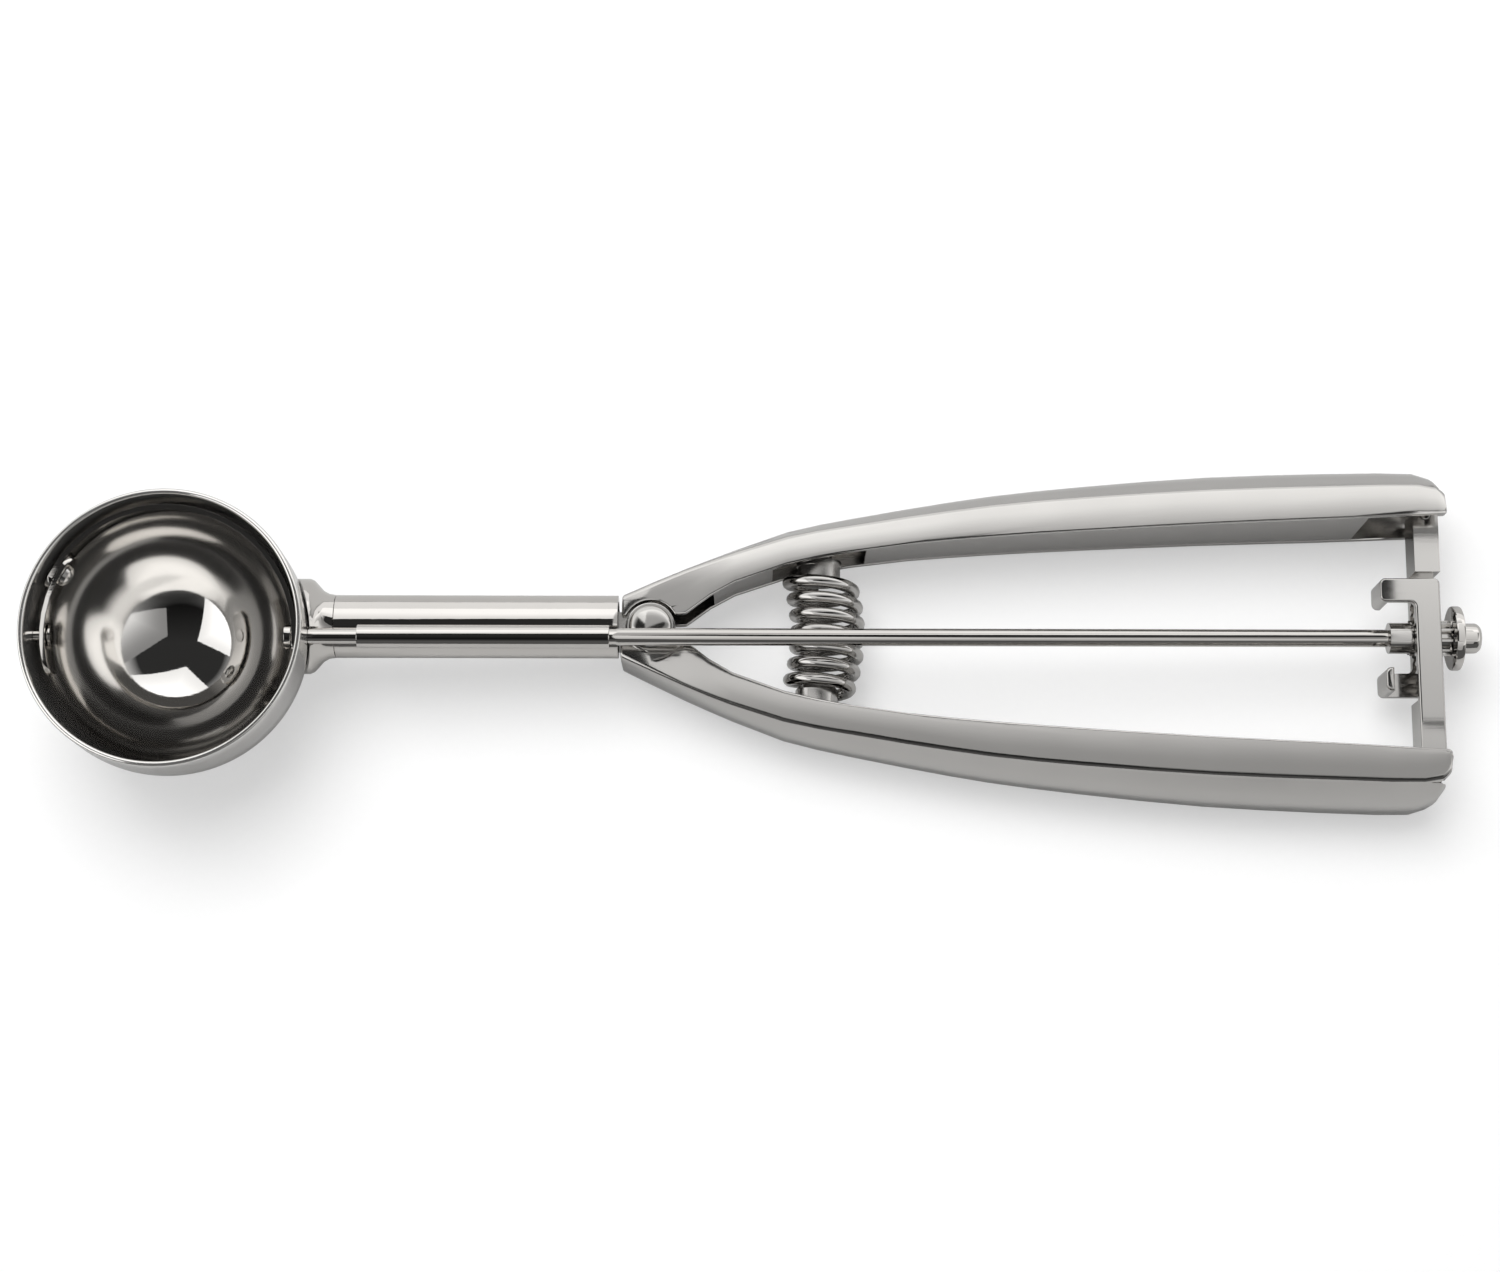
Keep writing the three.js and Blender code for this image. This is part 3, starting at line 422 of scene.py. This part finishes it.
# Pivot rivet: a low dome over the ears, drawn as a smooth arc
rivet_at = middle("pivot_rivet")
low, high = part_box("pivot_rivet")
HEAD_R = (high.x - low.x) / 2 / MM
HEAD_HIGH = 1.15
FOOT_HIGH, FOOT_EDGE, FOOT_TAPER = 0.8, 0.4, 0.7
SHANK_R = 1.6
head_z = (high.z - rivet_at.z) / MM - HEAD_HIGH
foot_z = (low.z - rivet_at.z) / MM + FOOT_HIGH
dome = [(head_z + HEAD_HIGH * math.sin(a), HEAD_R * math.cos(a))
        for a in (math.radians(d) for d in range(0, 91, 9))]
foot = [(foot_z - FOOT_HIGH, 0), (foot_z - FOOT_HIGH, HEAD_R - FOOT_TAPER),
        (foot_z - FOOT_EDGE, HEAD_R - FOOT_EDGE), (foot_z, HEAD_R - FOOT_EDGE)]
shank = [(foot_z, SHANK_R), (head_z, SHANK_R)]
rivet = turned(foot + shank + dome, rivet_at, around="Z", sides=72)
finished(rivet, "pivot_rivet", name="pivot_dome", angle=40, finish=SATIN)

# Spring: the wire as one fine coil, bowed as it sits between its seats
spring_low, spring_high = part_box("spring")
pivot = next(Vector(j["pos_m"]) for j in frame["joints"] if j["name"] == "squeeze")
pins = [Vector(j["pos_m"]) for j in frame["joints"] if j["name"].endswith("rack_turn")]
between = (pins[0] + pins[1]) / 2 - pivot
lean = math.atan2(-between.y, between.x)
COIL = {"along": 24.2, "radius": 4.6, "wire": 0.9, "turns": 7, "bow": 1.4}
coil_z = spring_high.z / MM - COIL["radius"] - COIL["wire"]
seat_half = (spring_high.y - spring_low.y) / 2 / MM - COIL["wire"]
path = bpy.data.curves.new("spring_path", "CURVE")
path.dimensions = "3D"
path.bevel_depth = COIL["wire"] * MM
path.bevel_resolution = 4
path.use_fill_caps = True
line = path.splines.new("POLY")
STEPS = COIL["turns"] * 36
line.points.add(STEPS)
for i, point in enumerate(line.points):
    t = i / STEPS
    turn = 2 * math.pi * (COIL["turns"] * t - 0.25)
    x = COIL["along"] + COIL["bow"] * (1 - (2 * t - 1) ** 2) + COIL["radius"] * math.cos(turn)
    y = seat_half * (2 * t - 1)
    z = coil_z + COIL["radius"] * math.sin(turn)
    point.co = (pivot.x + (x * math.cos(lean) + y * math.sin(lean)) * MM,
                pivot.y + (-x * math.sin(lean) + y * math.cos(lean)) * MM, z * MM, 1)
coil = bpy.data.objects.new("spring_coil", path)
bpy.context.collection.objects.link(coil)
only(coil)
bpy.ops.object.convert(target="MESH")
coil = bpy.context.object
finished(coil, "spring", name="spring_coil", angle=50)
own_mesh(coil)

# Pressed and stamped pieces
EDGES = {
    "upper_handle": 0.3, "lower_handle": 0.3, "upper_rack": 0.08, "lower_rack": 0.08, "pinion": 0.06,
    "upper_front_cover": 0.1, "lower_front_cover": 0.1, "upper_rear_cover": 0.1, "lower_rear_cover": 0.1,
    "pivot_tang": 0.12, "upper_spring_seat": 0.1, "lower_spring_seat": 0.1, "bowl_collar": 0.1,
    "upper_rack_pin": 0.1, "lower_rack_pin": 0.1, "blade": 0.1, "blade_strap": 0.12, "blade_rivet": 0.0,
    "blade_hub": 0.08, "far_pivot_pin": 0.08,
}
RACK_EASE = 0.45
HANDLE_EASE = 0.5


for node, edge in EDGES.items():
    piece = copied(node)
    if node.endswith("_rack"):
        eased(piece, RACK_EASE, Vector((0, 0, 1)))
    if node.endswith("_handle"):
        eased(piece, HANDLE_EASE, Vector((1, 0, 0)), 4, hollow=True)
    finished(piece, node, edge=edge, finish=STAMPED if node == "blade_rivet" else None)


# Studio: pale table, one soft lamp, and three pale panels overhead and three low strips over the handles
# that the polished metal shows

TABLE_TILT = math.radians(3.1)  # the scoop rests on its bowl and its handles' far ends
TABLE_DROP = 0.4
TABLE_LIFT = 0.43  # own light of the table, as the camera sees it
TABLE_SHOWN = 0.05  # share of that light that the metal sees
# Brightness of the room: at the horizon as metal sees it, on the near side as a share of that, overhead as
# metal sees it, and as it lights the table
ROOM = 1.1
BEHIND = 0.1
CEILING = 0.03
DAYLIGHT = 0.45
ROOM_TOP = (0.5, 0.78)  # between these heights of a ray the room gives way to the ceiling
ROOM_BACK = (-0.7, -0.1)  # and between these, along Y, to the near side
PANEL_HEIGHT = 430
STRIP_HEIGHT = 45


def panel(name, corners, dim, bright, reach=0, height=PANEL_HEIGHT, across=None):
    """A pale panel over the table, from its corners in millimetres. It is dim along its first and last
    edges, which meet at its first corner, and bright further in, or else it goes from dim to bright
    between the two places along Y in across. Only reflections show it."""
    only()
    bpy.ops.mesh.primitive_circle_add(vertices=len(corners), radius=1, fill_type="NGON")
    board = bpy.context.object
    board.name = name
    for v, (x, y) in zip(board.data.vertices, corners):
        v.co = (x * MM, y * MM, height * MM)
    material = bpy.data.materials.new(name + "_light")
    material.use_nodes = True
    tree = material.node_tree
    tree.nodes.clear()
    place = put(tree, "ShaderNodeTexCoord").outputs["Object"]
    if across:
        inward = put(tree, "ShaderNodeSeparateXYZ", {"Vector": place}).outputs["Y"]
        start, end = across
    else:
        sides = []
        within = [sum(c[i] for c in corners) / len(corners) for i in (0, 1)]
        for tip in (corners[1], corners[-1]):
            a, b = tip[1] - corners[0][1], corners[0][0] - tip[0]
            size = math.hypot(a, b)
            c = -(a * corners[0][0] + b * corners[0][1])
            if a * within[0] + b * within[1] + c < 0:
                size = -size
            off = put(tree, "ShaderNodeVectorMath", {0: place, 1: (a / size, b / size, 0)},
                      operation="DOT_PRODUCT")
            sides.append(put(tree, "ShaderNodeMath", {0: off.outputs["Value"], 1: c / size * MM},
                             operation="ADD").outputs["Value"])
        inward = put(tree, "ShaderNodeMath", {0: sides[0], 1: sides[1]},
                     operation="MINIMUM").outputs["Value"]
        start, end = 0, reach
    level = put(tree, "ShaderNodeMapRange",
                {"Value": inward, "From Min": start * MM, "From Max": end * MM,
                 "To Min": dim, "To Max": bright},
                interpolation_type="SMOOTHSTEP")
    glow = put(tree, "ShaderNodeEmission", {"Color": (1, 1, 1, 1), "Strength": level.outputs["Result"]})
    put(tree, "ShaderNodeOutputMaterial", {"Surface": glow.outputs["Emission"]})
    board.data.materials.append(material)
    board.visible_camera = False
    board.visible_diffuse = False
    board.visible_shadow = False
    board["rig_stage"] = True


def studio_world():
    world = bpy.data.worlds.new("studio")
    world.use_nodes = True
    tree = world.node_tree
    tree.nodes.clear()
    place = put(tree, "ShaderNodeTexCoord")
    split = put(tree, "ShaderNodeSeparateXYZ", {"Vector": place.outputs["Generated"]})
    # Polished metal sees a pale room at the horizon and the dark ceiling above it
    shown = put(tree, "ShaderNodeMapRange",
                {"Value": split.outputs["Z"], "From Min": ROOM_TOP[0], "From Max": ROOM_TOP[1],
                 "To Min": ROOM, "To Max": CEILING}).outputs["Result"]
    behind = put(tree, "ShaderNodeMapRange",
                 {"Value": split.outputs["Y"], "From Min": ROOM_BACK[0], "From Max": ROOM_BACK[1],
                  "To Min": BEHIND, "To Max": 1.0}).outputs["Result"]
    shown = put(tree, "ShaderNodeMath", {0: shown, 1: behind}, operation="MULTIPLY").outputs["Value"]
    ray = put(tree, "ShaderNodeLightPath")
    metal = put(tree, "ShaderNodeMath",
                {0: ray.outputs["Is Glossy Ray"], 1: ray.outputs["Is Transmission Ray"]},
                operation="MAXIMUM").outputs["Value"]
    plain = put(tree, "ShaderNodeMix", {"Factor": ray.outputs["Is Camera Ray"], "A": DAYLIGHT, "B": 1.0},
                data_type="FLOAT").outputs["Result"]
    strength = put(tree, "ShaderNodeMix", {"Factor": metal, "A": plain, "B": shown},
                   data_type="FLOAT").outputs["Result"]
    sky = put(tree, "ShaderNodeBackground", {"Color": (1, 1, 1, 1), "Strength": strength})
    put(tree, "ShaderNodeOutputWorld", {"Surface": sky.outputs["Background"]})
    bpy.context.scene.world = world


def studio_table():
    only()
    bpy.ops.mesh.primitive_plane_add(size=6, location=(BOWL_CENTRE.x, 0, 0))
    table = bpy.context.object
    table.name = "table_top"
    table.rotation_euler = (0, -TABLE_TILT, 0)
    table.location.z = -TABLE_DROP * MM
    material = bpy.data.materials.new("pale_table_paper")
    material.use_nodes = True
    tree = material.node_tree
    tree.nodes.clear()
    place = put(tree, "ShaderNodeTexCoord")
    fibre = put(tree, "ShaderNodeTexNoise",
                {"Vector": place.outputs["Object"], "Scale": 900.0, "Detail": 2.0})
    tone = put(tree, "ShaderNodeMixRGB", {"Fac": fibre.outputs["Fac"], "Color1": linear("#c3c3c3"),
                                          "Color2": linear("#c6c6c6")})
    paper = put(tree, "ShaderNodeBsdfDiffuse", {"Color": tone.outputs["Color"]})
    ray = put(tree, "ShaderNodeLightPath")
    metal = put(tree, "ShaderNodeMath",
                {0: ray.outputs["Is Glossy Ray"], 1: ray.outputs["Is Transmission Ray"]},
                operation="MAXIMUM").outputs["Value"]
    faint = put(tree, "ShaderNodeMath", {0: metal, 1: TABLE_SHOWN}, operation="MULTIPLY").outputs["Value"]
    seen = put(tree, "ShaderNodeMath", {0: ray.outputs["Is Camera Ray"], 1: faint}, operation="MAXIMUM")
    lift = put(tree, "ShaderNodeMath", {0: seen.outputs["Value"], 1: TABLE_LIFT}, operation="MULTIPLY")
    glow = put(tree, "ShaderNodeEmission", {"Color": (1, 1, 1, 1), "Strength": lift.outputs["Value"]})
    both = put(tree, "ShaderNodeAddShader", {0: paper.outputs["BSDF"], 1: glow.outputs["Emission"]})
    put(tree, "ShaderNodeOutputMaterial", {"Surface": both.outputs["Shader"]})
    table.data.materials.append(material)
    table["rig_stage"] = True


panel("left_panel", [(-191, -50), (-350, -530), (-1900, -530), (-1900, 700)], 1.1, 1.5, 160)
panel("right_panel", [(4, -84), (24, -310), (1700, -310), (1700, 1060)], 0.28, 1.1, 500)
panel("far_panel", [(-123, 117), (-560, 557), (800, 900), (1000, 514)], 1.1, 1.5, 200)
panel("upper_strip", [(-21, 3), (4, 14), (36, 20), (112, 22), (112, 50), (36, 48), (4, 44), (-21, 34)],
      0.55, 1.4, height=STRIP_HEIGHT, across=(14, 42))
panel("lower_strip", [(-21, 2.8), (4, -1.5), (36, -6.5), (112, -10.5),
                      (112, -31), (36, -31), (4, -29), (-21, -22)],
      0.45, 0.9, height=STRIP_HEIGHT, across=(-26, -4))
panel("end_strip", [(96, 20), (96, -9), (117, -9), (117, 20)], 0.75, 1.1, height=STRIP_HEIGHT,
      across=(-9, 20))
studio_world()
studio_table()

LAMP_AT = Vector((-0.13, 0.26, 0.72))  # metres, and watts below
LAMP_SIZE = 0.5
LAMP_POWER = 5.0
lamp_data = bpy.data.lights.new("soft_key", "AREA")
lamp_data.size = LAMP_SIZE
lamp_data.energy = LAMP_POWER
lamp = bpy.data.objects.new("soft_key", lamp_data)
lamp.location = LAMP_AT
lamp.rotation_euler = (-LAMP_AT).to_track_quat("-Z", "Y").to_euler()
lamp.visible_glossy = False
lamp.visible_camera = False
bpy.context.collection.objects.link(lamp)

CAMERA_ROLL = math.radians(0.12)
CAMERA_TILT = math.radians(11.5)
CAMERA_AWAY = 420
CAMERA_ASIDE, CAMERA_UP = -0.115, 0.15
LENS, SENSOR = 70.56, 36
camera_data = bpy.data.cameras.new("photo_view")
camera_data.lens = LENS
camera_data.sensor_width = SENSOR
camera = bpy.data.objects.new("photo_view", camera_data)
aim = Vector((CAMERA_ASIDE * MM, ROD_AXIS.y + CAMERA_UP * MM, ROD_AXIS.z))
camera.location = aim + Vector((0, -math.sin(CAMERA_TILT), math.cos(CAMERA_TILT))) * CAMERA_AWAY * MM
level = (aim - camera.location).to_track_quat("-Z", "Y")
camera.rotation_mode = "QUATERNION"
camera.rotation_quaternion = level @ Quaternion((0, 0, 1), CAMERA_ROLL)
bpy.context.collection.objects.link(camera)
bpy.context.scene.camera = camera
bpy.context.scene.view_settings.view_transform = "Standard"

low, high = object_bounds()
